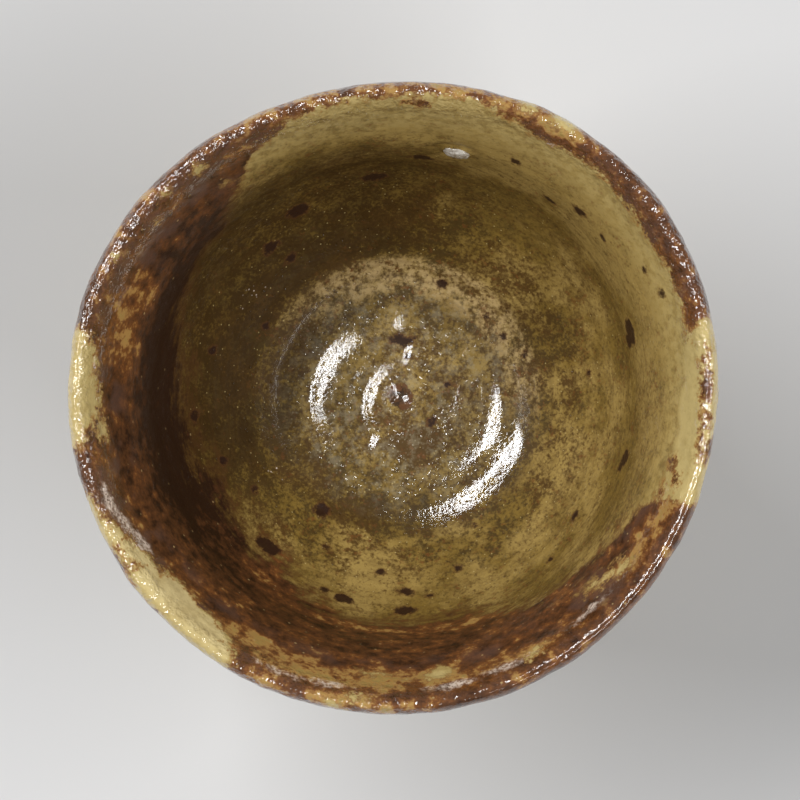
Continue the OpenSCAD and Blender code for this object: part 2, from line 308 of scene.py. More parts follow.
def fine_marks(angle, run, p):
    """Lumps, throwing lines, the burst and the crater, in mm."""
    lip = 1 - between(np.abs(run), 3.5, 9)
    lines = p * [0.09, 0.09, 0.09] + np.stack([run * 0, run * 0, run * 1.15], -1)
    d = 0.05 * value_noise(p, 7.0, 3) + 0.02 * value_noise(p, 2.2, 4)
    d += lip * (0.10 * value_noise(p, 3.6, 5) + 0.06 * value_noise(p, 1.3, 6))
    d += (1 - lip) * (0.016 * value_noise(lines, 1.0, 7) + 0.008 * value_noise(lines * 2.3, 1.0, 8))
    d += 0.09 * (1 - smooth((IN_RUN - run) / 0.9))
    g = near(angle, run, GRAIN, 1.15)
    d += 0.30 * (1 - smooth(g / 1.5)) - 0.14 * np.exp(-((g - 1.9) / 0.45) ** 2)
    c = near(angle, run, CRATER)
    d += 0.05 * np.exp(-((c - 0.85) / 0.25) ** 2) - 0.09 * (1 - smooth(c / 0.75))
    return d


def placed(angle, run, out):
    """Puts a point of the wall at its place round the cup."""
    p = wall_at(run) + out[..., None] * wall_normal(run)
    up = np.maximum(p[..., 1] - FOOT_H, 0) / (CUP_H - FOOT_H)
    oval = 1 + up ** 2 * (OVAL_SHARE * cosd(2 * angle - OVAL_TURN)
                          + TREFOIL_SHARE * cosd(3 * angle - TREFOIL_TURN)
                          + SQUARE_SHARE * cosd(4 * angle - SQUARE_TURN))
    drop = LIP_DIP * up ** 3 * (1 - cosd(3 * angle - DIP_TURN)) / 2
    shift = WELL_SHIFT * smooth(run / IN_RUN)
    return np.stack([p[..., 0] * oval * cosd(angle) + shift * cosd(SHIFT_TURN),
                     p[..., 0] * oval * sind(angle) + shift * sind(SHIFT_TURN), p[..., 1] - drop], -1)


# ---------------------------------------------------------------- rows of the skin
def rows_between(a, b, count):
    """Rows after a, up to and with b, for every column."""
    steps = max(int(round(count * DENSITY)), 2)
    share = np.arange(1, steps + 1) / steps
    return a[None, :] + (b - a)[None, :] * share[:, None]


ANGLE = np.arange(COLUMNS) * 360.0 / COLUMNS
ONE = np.ones(COLUMNS)
LINE = glaze_line(ANGLE)
OUT_EDGE = iron_out(ANGLE)
IN_EDGE = iron_in(ANGLE)
STRETCHES = {
    "bare": np.vstack([-OUT_RUN * ONE[None, :], rows_between(-OUT_RUN * ONE, LINE, 22)]),
    "ash_out": np.vstack([rows_between(LINE, LINE + BEAD_W, 10),
                          rows_between(LINE + BEAD_W, OUT_EDGE, 84)]),
    "iron": np.vstack([rows_between(OUT_EDGE, LIP_FROM * ONE, 26),
                       rows_between(LIP_FROM * ONE, LIP_TO * ONE, 32),
                       rows_between(LIP_TO * ONE, IN_EDGE, 80)]),
    "ash_in": np.vstack([rows_between(IN_EDGE, WELL_FROM * ONE, 84),
                         rows_between(WELL_FROM * ONE, (IN_RUN - MIDDLE_GAP) * ONE, 84)]),
}
RUNS = np.vstack(list(STRETCHES.values()))
ANGLES = np.broadcast_to(ANGLE, RUNS.shape)
FIRST = {}
start = 0
for stretch, rows in STRETCHES.items():
    FIRST[stretch] = start
    start += len(rows)

PLAIN = placed(ANGLES, RUNS, np.zeros(RUNS.shape))
# The marks are looked up a little off their place, so that they wander as a hand does
WANDER = 0.22 * value_noise(PLAIN, 2.6, 11) + 0.10 * value_noise(PLAIN, 1.1, 12)
MARKS = marks(ANGLES, RUNS + WANDER * between(IN_RUN - RUNS, 2.0, 4.0) * between(RUNS, 12, 24))
FINE = fine_marks(ANGLES, RUNS, PLAIN)
# The skin carries the fine marks too; the clay lies under it by the glaze's thickness
SKIN = placed(ANGLES, RUNS, MARKS + FINE)
CLAY = placed(ANGLES, RUNS, MARKS - glaze(ANGLES, RUNS))
well_run = np.array([IN_RUN])
WELL_SKIN = placed(np.zeros(1), well_run, marks(np.zeros(1), well_run))[0]
WELL_CLAY = WELL_SKIN - [0, 0, POOL_T]


def row_normals(grid):
    """Smooth normals of a grid of points whose columns go round."""
    across = np.roll(grid, -1, 1) - np.roll(grid, 1, 1)
    along = np.gradient(grid, axis=0)
    n = np.cross(across, along)
    return n / np.maximum(np.linalg.norm(n, axis=-1), 1e-9)[..., None]


SKIN_N = row_normals(SKIN)


# ---------------------------------------------------------------- meshes
def keep_fields(mesh, fields, start=0, with_end=False):
    """Keeps the fields as attributes of the points from start on, and of the last point on request."""
    for key, values in fields.items():
        data = np.full(len(mesh.vertices), FAR_OUT if key in ("iron", "spot") else 0.0)
        data[start:start + values.size] = values.reshape(-1)
        if with_end:
            data[-1] = values[-1].mean()
        mesh.attributes.new(key, "FLOAT", "POINT").data.foreach_set("value", data)


def face_normals(points, faces):
    """Flat normals of faces with three or four corners."""
    n = np.cross(points[faces[:, 2]] - points[faces[:, 0]], points[faces[:, -1]] - points[faces[:, 1]])
    return n / np.maximum(np.linalg.norm(n, axis=1), 1e-12)[:, None]


def solid(name, rows, first=None, last=None, normals=None, fields=None):
    """Closed mesh through rows of points (mm). With no end points the last row joins the first.

    normals holds smooth normals for the first len(normals) rows; faces past them are flat.
    fields holds one value per point of those rows, kept as attributes of the mesh.
    """
    count, n = rows.shape[:2]
    points = rows.reshape(-1, 3)
    closed = first is None
    if not closed:
        points = np.vstack([points, first, last])
    j = np.arange(n)
    k = (j + 1) % n
    faces, owner = [], []
    for i in range(count if closed else count - 1):
        a, b = i * n, (i + 1) % count * n
        faces.append(np.stack([a + j, a + k, b + k, b + j], 1))
        owner.append(np.full(n, i))
    quads = np.vstack(faces)
    owner = np.concatenate(owner)
    tris = np.zeros((0, 3), int)
    if not closed:
        top, end = count * n, (count - 1) * n
        tris = np.vstack([np.stack([np.full(n, top), k, j], 1),
                          np.stack([end + j, end + k, np.full(n, top + 1)], 1)])
    mesh = bpy.data.meshes.new(name)
    mesh.from_pydata((points * MM).tolist(), [], quads.tolist() + tris.tolist())
    mesh.polygons.foreach_set("use_smooth", np.ones(len(mesh.polygons), bool))
    if normals is not None:
        smooth_rows = len(normals)
        point_n = np.zeros((len(points), 3))
        point_n[:smooth_rows * n] = normals.reshape(-1, 3)
        is_skin = (owner < smooth_rows - 1)[:, None, None]
        loops = np.where(is_skin, point_n[quads], face_normals(points, quads)[:, None, :]).reshape(-1, 3)
        if len(tris):
            loops = np.vstack([loops, np.repeat(face_normals(points, tris), 3, 0)])
        mesh.normals_split_custom_set(loops)
    keep_fields(mesh, fields or {})
    obj = bpy.data.objects.new(name, mesh)
    bpy.context.scene.collection.objects.link(obj)
    return obj


# ---------------------------------------------------------------- where the colours lie
# How far the iron brown runs down the outside
BROWN_OUT_RUN = 11.0
BROWN_OUT_DROP = 4.0
# The lower edge of the iron brown inside: [angle, run]
BROWN_EDGE = np.array([
    [-20, 1.5], [0, 1.3], [13, 2.2], [30, 2.9], [48, 2.2], [62, 2.6], [75, 0.4], [100, 0.6],
    [112, 1.6], [120, 4.2], [127.5, 9.7], [135, 14.4], [143.5, 17], [151.5, 18.2], [159.5, 20.2],
    [171.5, 24.3], [185, 24.4], [195, 24.8], [206, 25.7], [215, 26], [225.5, 26.1], [233.5, 26.6],
    [240.5, 25], [255, 21.9], [269, 21.1], [282.5, 21.4], [292, 19.6], [300, 14.5], [309, 12.2],
    [318, 12.2], [323.5, 11], [329.5, 9.4], [336, 7.5], [341, 1.5], [380, 1.5]])
# Pale ash on the lip: [angle, run, half length round the lip, half width, tilt in degrees]
PALE = np.array([
    [173.5, -1.0, 3.2, 3.6, 0], [180.5, -0.6, 3.4, 3.8, 0], [186.0, -1.4, 2.2, 2.2, 0],
    [186.5, 3.4, 0.9, 0.9, 0], [183.0, 2.4, 1.0, 0.8, 0],
    [201.0, -1.6, 2.2, 1.5, 30], [206.0, -0.2, 2.6, 1.4, 30], [211.5, 1.4, 3.0, 1.5, 25],
    [218.0, 1.0, 2.6, 2.6, 0], [223.0, 1.4, 4.0, 3.6, 0], [229.5, 0.6, 4.0, 3.6, 0],
    [234.0, -0.6, 2.4, 3.0, 0], [225.0, -3.2, 4.6, 2.0, 0], [231.0, -3.4, 2.6, 2.0, 0],
    [344.0, 0.2, 2.6, 3.6, 0], [350.0, 0.4, 4.0, 4.6, 0], [358.0, 0.2, 4.4, 5.0, 0],
    [6.0, 0.0, 4.0, 4.4, 0], [11.0, -0.6, 1.8, 2.2, 0],
    [58.0, -0.9, 1.7, 1.5, 0], [65.0, -1.3, 1.1, 0.9, 0], [319.5, 5.5, 2.9, 0.9, -32],
    [317.0, 6.5, 0.9, 0.8, 0], [322.0, 4.4, 1.1, 0.8, 0],
    [258.5, -0.4, 0.9, 0.7, 0], [262.5, 0.9, 0.8, 0.5, 0], [279.0, 4.9, 1.3, 1.0, 0],
    [266.5, 5.6, 0.9, 0.6, 0], [153.0, 0.7, 0.45, 0.45, 0], [138.5, 0.7, 0.5, 0.5, 0],
    [131.0, 1.2, 0.6, 0.5, 0], [122.5, -2.2, 0.8, 0.6, 0], [128.5, 6.8, 0.45, 0.45, 0],
    [144.0, 2.8, 0.4, 0.4, 0], [137.0, -2.6, 0.7, 0.5, 0], [128.0, -2.8, 0.9, 0.5, 0],
    [146.0, -2.8, 0.4, 0.4, 0], [283.0, -3.4, 1.6, 0.5, 0], [299.0, 2.8, 1.0, 0.7, 0]])
# Amber streaks through the brown: [angle, run, half length, half width]
STREAKS = np.array([
    [164.0, 6.2, 4.6, 2.9], [171.0, 8.4, 2.2, 2.8], [158.0, 8.8, 2.2, 2.4],
    [241.0, 3.4, 1.8, 1.0], [245.0, 5.2, 2.0, 1.0], [251.0, 5.2, 2.4, 1.3], [257.0, 4.6, 2.6, 1.2],
    [266.0, 5.4, 3.6, 1.3], [278.0, 5.2, 3.4, 1.4], [289.0, 4.2, 2.6, 1.0], [300.0, 3.0, 2.4, 0.9],
    [244.0, -0.6, 2.0, 1.0], [260.0, 0.2, 3.4, 1.2], [270.0, -0.2, 2.4, 0.9],
    [262.0, 18.6, 5.0, 1.1], [276.0, 18.4, 5.0, 1.0], [288.0, 17.0, 4.4, 1.0],
    [331.0, 4.6, 2.2, 1.4], [338.0, 3.0, 2.2, 1.8], [325.0, 3.0, 1.6, 1.6],
    [58.0, -0.2, 3.4, 1.4], [68.0, -0.4, 4.0, 1.4], [78.0, -0.6, 4.0, 1.2], [92.0, -0.8, 3.6, 0.9],
    [105.0, -0.9, 3.0, 1.4], [115.0, -1.0, 2.4, 1.3], [124.0, -1.4, 1.8, 1.1], [132.0, -1.8, 1.2, 0.8],
    [141.0, -1.6, 1.6, 0.9], [149.0, -1.5, 1.0, 0.7],
    [240.0, 4.8, 3.6, 2.0], [253.0, 3.2, 4.0, 1.5], [268.0, 3.2, 4.0, 1.2], [236.0, 2.4, 1.6, 1.2],
    [250.0, 4.2, 4.0, 1.8], [264.0, 4.4, 5.0, 1.9], [278.0, 4.2, 5.0, 1.7], [291.0, 3.4, 3.4, 1.3],
    [232.0, 21.5, 3.0, 1.2]])
# Brown stains on the pale ash, in the same columns
STAINS = np.array([
    [355.0, 0.3, 1.8, 0.55, 0], [2.0, 0.5, 2.2, 0.65, 0], [351.0, -0.7, 0.8, 0.5, 0],
    [343.5, 2.8, 0.9, 0.8, 0], [340.5, 4.6, 0.8, 0.6, 0], [346.0, 4.0, 0.5, 0.5, 0],
    [178.0, 3.4, 0.7, 0.5, 0], [221.5, -1.6, 0.45, 0.4, 0], [85.0, 1.6, 0.8, 0.5, 0]])
# Milky sheen on the iron brown, partly the glaze's own and partly painted reflection and highlight, and
# painted glints in the well, in the same columns
PAINTED_SHEEN = np.array([
    [200.0, 1.6, 2.0, 0.9, 10], [205.0, 2.4, 2.4, 1.0, 20], [210.0, 3.4, 1.8, 1.1, 30],
    [146.0, 29.6, 2.2, 1.5, 0], [209.0, 33.6, 1.6, 0.9, 40], [214.0, 34.2, 1.2, 0.8, 40],
    [247.0, 1.8, 2.2, 0.6, 0], [256.0, 2.2, 2.8, 0.6, 0], [281.0, 2.2, 3.0, 0.7, 0],
    [293.0, 2.6, 3.2, 0.8, 0], [312.0, 3.2, 2.6, 0.7, 0],
    [56.0, 3.0, 2.0, 0.6, 0], [44.0, 3.6, 2.4, 0.5, 0]])
# Iron spots: [angle, run, radius, length round the wall over height]
SPOTS = np.array([
    [20.9, 5.2, 0.62, 0.7], [37.5, 10.6, 0.45, 1.1], [45.0, 10.5, 0.72, 1], [63.0, 9.3, 0.55, 1],
    [84.0, 15.9, 0.75, 1.5], [15.5, 16.3, 1.35, 1], [13.5, 17.6, 0.9, 0.8], [30.0, 36.5, 0.4, 1],
    [43.0, 36.6, 0.33, 1], [70.0, 36.4, 0.5, 1.2], [18.5, 35.0, 0.35, 1], [345.0, 18.0, 1.1, 0.8],
    [342.5, 18.9, 0.7, 0.8], [272.0, 23.8, 0.75, 1.5], [272.5, 27.0, 0.6, 1.4],
    [185.5, 25.7, 0.62, 1], [235.5, 34.5, 0.8, 1], [130.5, 26.8, 0.7, 1.3], [166.0, 27.6, 0.5, 1],
    [229.0, 26.6, 1.0, 1.4], [264.0, 29.6, 0.4, 1.3], [289.0, 28.7, 0.4, 1], [86.5, 43.1, 0.55, 2.4],
    [320.5, 44.8, 0.42, 1.4], [15.0, 44.0, 0.33, 1], [80.0, 44.6, 0.25, 1.5], [52.0, 14.0, 0.5, 1.4],
    [27.0, 6.6, 0.35, 1], [255.0, 24.6, 0.7, 1.4], [249.0, 25.2, 0.45, 1.2], [301.0, 33.0, 0.3, 1],
    [7.0, 27.4, 0.3, 1], [326.0, 24.0, 0.35, 1.4], [96.0, 22.2, 0.8, 1.5], [118.0, 24.4, 0.9, 1.4],
    [128.0, 29.6, 0.5, 1.4], [152.0, 32.8, 0.4, 1], [200.0, 28.2, 0.45, 1], [213.0, 30.2, 0.35, 1],
    [245.0, 30.8, 0.35, 1.3], [279.0, 26.0, 0.3, 1.2], [313.0, 21.8, 0.35, 1.2],
    [60.0, -12.0, 0.8, 1], [150.0, -18.0, 0.6, 1], [210.0, -9.0, 0.9, 1.2], [285.0, -22.0, 0.7, 1],
    [330.0, -14.0, 0.5, 1], [20.0, -26.0, 0.7, 1], [105.0, -24.0, 0.5, 1], [255.0, -30.0, 0.6, 1],
    [185.0, -28.0, 0.45, 1], [310.0, -17.0, 0.35, 1], [78.0, -31.0, 0.5, 1], [228.0, -19.0, 0.4, 1]])


def blobs(angle, run, table):
    """Signed distance in mm, above zero inside any of the table's ellipses."""
    best = np.full(run.shape, FAR_OUT)
    for row in table:
        u, v = local(angle, run, row)
        tilt = row[4] if len(row) > 4 else 0
        a, b = u * cosd(tilt) + v * sind(tilt), -u * sind(tilt) + v * cosd(tilt)
        best = np.maximum(best, (1 - np.hypot(a / row[2], b / row[3])) * min(row[2], row[3]))
    return best


def spot_field(angle, run):
    best = np.full(run.shape, FAR_OUT)
    for place in SPOTS:
        best = np.maximum(best, place[2] - near(angle, run, place, place[3]))
    return best


BROWN_OUT = -BROWN_OUT_RUN - BROWN_OUT_DROP * drips(ANGLE)
BROWN_IN = np.interp(ANGLE, BROWN_EDGE[:, 0], BROWN_EDGE[:, 1])
brown = np.where(RUNS > 0, BROWN_IN[None, :] - RUNS, RUNS - BROWN_OUT[None, :])
brown = np.clip(brown, FAR_OUT, -FAR_OUT)
pale = blobs(ANGLES, RUNS, PALE)
middle = IN_RUN - RUNS
glossy_edge = np.interp(ANGLES, GLOSSY[:, 0], GLOSSY[:, 1])
dull_patch = np.hypot((middle - 1.2) / 0.9, np.radians(apart(ANGLES, 170)) * 1.3)
pool_patch = np.hypot((middle - 5.2) / 1.5, np.radians(apart(ANGLES, 285)) * 5.2 / 3.4)
FIELDS = {
    "run": RUNS,
    "iron": np.maximum(np.minimum(brown, -pale), blobs(ANGLES, RUNS, STAINS)),
    "pale": np.clip(pale, -2, 2),
    "amber": np.clip(blobs(ANGLES, RUNS, STREAKS), -2, 2),
    "painted_sheen": np.clip(blobs(ANGLES, RUNS, PAINTED_SHEEN), -1, 1),
    "spot": np.clip(spot_field(ANGLES, RUNS), -2, 2),
    # Darker olive up the back of the bowl, partly its own colour and partly painted shade where the walls turn
    # from the key lamp; straw at the front and the right, as painted light
    "shade_tone": between(RUNS, 7, 17) * between(middle, 14.5, 16.5) * between(off(ANGLES, 143), 94, 42)
            + 0.5 * between(np.abs(middle - 12.8), 2.8, 1.4) * between(off(ANGLES, 212), 88, 55)
            + 0.35 * between(np.abs(middle - 17), 4, 2) * between(off(ANGLES, 350), 60, 30)
            + 0.30 * between(RUNS, 8, 14) * between(middle, 15, 18) * between(off(ANGLES, 168), 50, 25)
            - 0.45 * between(RUNS, 18, 24) * between(middle, 14, 15.5) * between(off(ANGLES, 308), 85, 50)
            - 0.7 * between(np.abs(RUNS - 11), 9, 5) * between(off(ANGLES, 46), 58, 28),
    # Where the iron lies thickest and darkest, with painted shade on the left wall that turns from the key
    # lamp
    "dip_and_shade": between(RUNS, 2.5, 8) * between(off(ANGLES, 160), 64, 32)
           + 2.1 * between(RUNS, 11, 16) * between(off(ANGLES, 180), 68, 34),
    # Ash thinnest and palest on the lip at the lower left
    "thin": between(off(ANGLES, 222), 40, 24) * between(RUNS, -0.6, 1.4),
    # The pinkish ring round the well
    "tan": between(middle, 10.0, 11.8) * between(middle, 15.6, 14.2) * between(off(ANGLES, 68), 96, 42),
    # Glossy in the well, on the lip and outside, with a dull patch beside the nub
    "shine": between(dull_patch, 0.6, 1.3) * 0.85 + 0.15,
    # Glaze pooled thick at the front of the well
    "pool": between(pool_patch, 1.2, 0.5),
}
FIELDS["shine"] *= np.maximum(
    between(np.abs(RUNS), 6.5, 1.5) * (1 - 0.4 * between(off(ANGLES, 312), 48, 28)),
    np.maximum(between(middle - glossy_edge, 1.2, -0.6), 0.6 * between(-RUNS, 4, 9)))


# ---------------------------------------------------------------- materials
class Nodes:
    """Short names for the shader nodes that the materials are made of."""

    def __init__(self, name):
        self.material = bpy.data.materials.new(name)
        self.material.use_nodes = True
        self.tree = self.material.node_tree
        self.tree.nodes.clear()
        output = self.tree.nodes.new("ShaderNodeOutputMaterial")
        self.shader = self.tree.nodes.new("ShaderNodeBsdfPrincipled")
        self.tree.links.new(self.shader.outputs[0], output.inputs[0])
        coords = self.tree.nodes.new("ShaderNodeTexCoord").outputs["Object"]
        self.mm = self.scaled(coords, (1000, 1000, 1000))

    def put(self, socket, value):
        if isinstance(value, bpy.types.NodeSocket):
            self.tree.links.new(value, socket)
        elif isinstance(value, tuple) and len(value) == 3 and socket.type == "RGBA":
            socket.default_value = (*value, 1)
        else:
            socket.default_value = value

    def vector_math(self, operation, a, b):
        node = self.tree.nodes.new("ShaderNodeVectorMath")
        node.operation = operation
        self.put(node.inputs[0], a)
        self.put(node.inputs[1], b)
        return node.outputs[0]

    def scaled(self, vector, by):
        return self.vector_math("MULTIPLY", vector, by)

    def added(self, a, b):
        return self.vector_math("ADD", a, b)

    def combined(self, x, y, z):
        node = self.tree.nodes.new("ShaderNodeCombineXYZ")
        for socket, value in zip(node.inputs, (x, y, z)):
            self.put(socket, value)
        return node.outputs[0]

    def math(self, operation, a, b=0.0):
        node = self.tree.nodes.new("ShaderNodeMath")
        node.operation = operation
        self.put(node.inputs[0], a)
        self.put(node.inputs[1], b)
        return node.outputs[0]

    def total(self, *terms):
        """Sum of (socket, weight) pairs."""
        result = None
        for value, weight in terms:
            term = value if weight == 1.0 else self.math("MULTIPLY", value, weight)
            result = term if result is None else self.math("ADD", result, term)
        return result

    def centred(self, value):
        return self.math("SUBTRACT", value, 0.5)

    def shifted(self, by):
        """Object coordinates in mm, moved so that a second noise differs from the first."""
        return self.added(self.mm, (by, -2 * by, 3 * by))

    def field(self, name):
        node = self.tree.nodes.new("ShaderNodeAttribute")
        node.attribute_name = name
        return node.outputs["Fac"]

    def product(self, first, *more):
        """Product of sockets and numbers."""
        for value in more:
            first = self.math("MULTIPLY", first, value)
        return first

    def noise(self, vector, cell, detail, rough):
        """Noise from 0 to 1 whose features are about one cell (mm) wide."""
        node = self.tree.nodes.new("ShaderNodeTexNoise")
        self.put(node.inputs["Vector"], vector)
        self.put(node.inputs["Scale"], 1.0 / cell)
        self.put(node.inputs["Detail"], detail)
        self.put(node.inputs["Roughness"], rough)
        return node.outputs["Fac"]

    def cells(self, vector, cell):
        """Distance to the nearest of points that lie about one cell (mm) apart, as a share of it."""
        node = self.tree.nodes.new("ShaderNodeTexVoronoi")
        self.put(node.inputs["Vector"], vector)
        self.put(node.inputs["Scale"], 1.0 / cell)
        return node.outputs["Distance"]

    def step(self, x, low, high, to_low=0.0, to_high=1.0):
        """Smooth step of x from low to high."""
        node = self.tree.nodes.new("ShaderNodeMapRange")
        node.interpolation_type = "SMOOTHSTEP"
        for key, value in (("Value", x), ("From Min", low), ("From Max", high),
                           ("To Min", to_low), ("To Max", to_high)):
            self.put(node.inputs[key], value)
        return node.outputs[0]

    def mix(self, amount, a, b):
        node = self.tree.nodes.new("ShaderNodeMix")
        node.data_type = "RGBA"
        self.put(node.inputs[0], amount)
        self.put(node.inputs[6], a)
        self.put(node.inputs[7], b)
        return node.outputs[2]

    def ramp(self, amount, *stops):
        """Colour ramp through (place, colour) stops."""
        node = self.tree.nodes.new("ShaderNodeValToRGB")
        self.put(node.inputs[0], amount)
        elements = node.color_ramp.elements
        while len(elements) < len(stops):
            elements.new(0.5)
        for element, (place, colour) in zip(elements, stops):
            element.position = place
            element.color = (*colour, 1)
        return node.outputs[0]

    def bump(self, height, distance):
        node = self.tree.nodes.new("ShaderNodeBump")
        self.put(node.inputs["Strength"], 1.0)
        self.put(node.inputs["Distance"], distance)
        self.put(node.inputs["Height"], height)
        return node.outputs[0]

    def finish(self, **values):
        for key, value in values.items():
            self.put(self.shader.inputs[key.replace("_", " ")], value)
        return self.material


# Colours of the glazes, linear
STRAW = (0.425, 0.290, 0.086)
OLIVE = (0.255, 0.161, 0.034)
UMBER = (0.090, 0.045, 0.011)
DARK_OLIVE = (0.075, 0.046, 0.013)
SHADED_BACK = (0.058, 0.030, 0.007)
PALE_ASH = (0.69, 0.54, 0.225)
CREAM = (0.86, 0.70, 0.35)
TAN = (0.56, 0.40, 0.18)
MILKY_AND_SPARKLE = (0.45, 0.39, 0.25)
MAUVE_REFLECTION = (0.130, 0.068, 0.047)
RUST = (0.225, 0.082, 0.022)
BROWN = (0.135, 0.052, 0.018)
BLACKISH = (0.033, 0.013, 0.006)
AMBER = (0.50, 0.28, 0.083)
SPOT = (0.030, 0.012, 0.007)
ROSE_HIGHLIGHT = (0.80, 0.66, 0.55)
CLAY_DARK = (0.23, 0.125, 0.065)
CLAY_PALE = (0.33, 0.20, 0.115)
CLAY_GRIT = (0.13, 0.065, 0.034)
CLAY_SAND = (0.50, 0.40, 0.28)
CLAY_IRON = (0.05, 0.025, 0.016)
FELDSPAR_GREY = (0.30, 0.25, 0.19)
FELDSPAR_WHITE = (0.66, 0.62, 0.55)
# How deep the bumps of each surface are, mm
GLAZE_BUMP = 0.085
CLAY_BUMP = 0.14
FELDSPAR_BUMP = 0.05


def glaze_material(name):
    m = Nodes(name)
    run, iron, pale, amber, painted_sheen, spot, shade_tone, dip_and_shade, thin, tan, shine, pool = (m.field(key) for key in FIELDS)
    # Noise drawn out round the wall, as the wheel leaves it
    lines = m.added(m.scaled(m.mm, (0.16, 0.16, 0.16)), m.combined(0.0, 0.0, m.product(run, 1.1)))
    streak = m.noise(lines, 0.8, 4, 0.6)
    big = m.noise(m.mm, 7.0, 3, 0.5)
    medium = m.noise(m.mm, 2.4, 4, 0.6)
    patch = m.noise(m.shifted(17), 3.2, 5, 0.65)
    mottle = m.noise(m.mm, 0.95, 4, 0.6)
    grain = m.noise(m.mm, 0.34, 3, 0.6)
    speckle = m.noise(m.shifted(5), 0.52, 3, 0.55)
    way = m.math("ABSOLUTE", run)
    deep = m.step(run, 24.0, 31.0)
    lip = m.step(way, 1.5, 6.5, 1.0, 0.0)

    # Ash glaze: straw where thin, olive where thick, under soft umber clouds
    # Up the back of the bowl the olive and the clouds are pushed darker as painted shade
    thick = m.total((big, 0.55), (medium, 0.25), (patch, 0.2),
                    (m.step(run, 4.0, 20.0, -0.10, 0.03), 1.0), (shade_tone, 0.10))
    colour = m.mix(m.step(thick, 0.40, 0.58), STRAW, OLIVE)
    colour = m.mix(m.product(tan, 0.9, m.step(mottle, 0.38, 0.64, 1.0, 0.3)), colour, TAN)
    cloud = m.total((patch, 0.36), (mottle, 0.32), (grain, 0.32), (shade_tone, 0.075), (pool, 0.16), (deep, 0.015),
                    (m.step(run, 5.0, 15.0, -0.045, 0.0), 1.0), (tan, -0.03))
    # The clouds have soft edges on the wall and sharper ones in the well
    thin_cloud, full_cloud = m.step(deep, 0.0, 1.0, 0.38, 0.43), m.step(deep, 0.0, 1.0, 0.68, 0.58)
    colour = m.mix(m.step(cloud, thin_cloud, full_cloud, 0.0, 0.92), colour,
                   m.mix(m.step(big, 0.42, 0.58), UMBER, DARK_OLIVE))
    specks = m.total((speckle, 0.6), (grain, 0.4), (m.step(run, 3.0, 16.0, -0.05, 0.01), 1.0))
    colour = m.mix(m.step(specks, 0.52, 0.70, 0.0, 0.75), colour, UMBER)
    rusty = m.product(m.step(m.noise(m.shifted(40), 0.6, 3, 0.6), 0.54, 0.68), m.step(patch, 0.47, 0.58))
    colour = m.mix(m.product(rusty, 0.55), colour, RUST)

    # Milky haze in the well, and white specks that are partly sugar-like crystals and partly painted sparkle
    # round the highlights
    haze = m.product(m.step(m.noise(m.shifted(31), 1.2, 5, 0.7), 0.46, 0.64),
                     m.step(run, 35.0, 39.5, 0.0, 0.34))
    colour = m.mix(haze, colour, MILKY_AND_SPARKLE)
    painted_sparkle = m.product(m.step(m.cells(m.shifted(31), 0.42), 0.10, 0.34, 1.0, 0.0),
                      m.step(medium, 0.44, 0.56, 0.25, 1.0), m.step(run, 35.0, 39.5, 0.04, 0.6))
    colour = m.mix(painted_sparkle, colour, MILKY_AND_SPARKLE)

    # The back of the bowl darkened as painted shade, and pale ash under the lip and in the bare-looking
    # patches
    back = m.total((medium, 0.3), (m.noise(m.shifted(51), 1.5, 5, 0.7), 0.35), (grain, 0.35))
    colour = m.mix(m.product(shade_tone, m.step(back, 0.42, 0.58, 0.32, 1.0)), colour, SHADED_BACK)
    under_lip = m.product(m.step(run, 3.0, 10.0, 0.55, 0.0), m.step(mottle, 0.40, 0.60, 1.0, 0.35))
    colour = m.mix(under_lip, colour, PALE_ASH)
    bare_pale = m.step(m.total((pale, 0.3), (mottle, 0.5)), 0.22, 0.50)
    pale_straw = m.step(m.total((patch, 0.5), (mottle, 0.3), (grain, 0.2)), 0.42, 0.66, 0.0, 0.45)
    colour = m.mix(m.product(bare_pale, 0.88), colour,
                   m.mix(pale_straw, m.mix(thin, PALE_ASH, CREAM), STRAW))
    colour = m.mix(m.product(m.step(streak, 0.46, 0.72), m.step(run, 4.0, 12.0, 0.0, 0.36)), colour, UMBER)
    # Tiny pale specks over the walls, painted as glints
    painted_pinpoints = m.product(m.step(m.cells(m.shifted(81), 0.9), 0.05, 0.11, 0.6, 0.0),
                          m.step(run, 5.0, 12.0))
    colour = m.mix(painted_pinpoints, colour, PALE_ASH)

    # Iron glaze: chocolate to black in the dip, breaking to rust, amber and straw towards the lip
    blotch = m.noise(m.shifted(23), 1.5, 4, 0.6)
    # The iron is darkened on the back and on the left wall as painted shade
    fleck = m.total((blotch, 0.42), (mottle, 0.2), (grain, 0.14), (patch, 0.24),
                    (m.step(amber, -0.8, 1.1), 0.105), (m.step(run, 11.0, 15.0), -0.012),
                    (dip_and_shade, -0.034), (shade_tone, -0.045), (lip, 0.018))
    rust = m.ramp(fleck, (0.40, BLACKISH), (0.515, BROWN), (0.565, RUST), (0.62, AMBER), (0.70, STRAW))
    # A mauve-grey veil on the iron inside the lip, painted as a reflection
    mauve_reflection = m.product(m.step(m.noise(m.shifted(71), 3.6, 3, 0.5), 0.46, 0.60),
                     m.step(run, 0.5, 2.5, 0.2, 0.7), m.step(run, 6.0, 10.0, 1.0, 0.0),
                     m.step(amber, -1.4, 0.2, 1.0, 0.15))
    rust = m.mix(mauve_reflection, rust, MAUVE_REFLECTION)
    dots = m.product(m.step(m.cells(m.shifted(7), 1.3), 0.07, 0.13, 0.7, 0.0), m.step(medium, 0.46, 0.56))
    rust = m.mix(dots, rust, TAN)
    # Pinkish sheen on the iron, partly milky glaze and partly painted reflection and highlight
    milk_and_highlight = m.product(m.step(m.total((painted_sheen, 0.5), (mottle, 1.0)), 0.45, 0.85),
                     m.step(grain, 0.40, 0.56, 0.25, 1.0))
    rust = m.mix(milk_and_highlight, rust, ROSE_HIGHLIGHT)

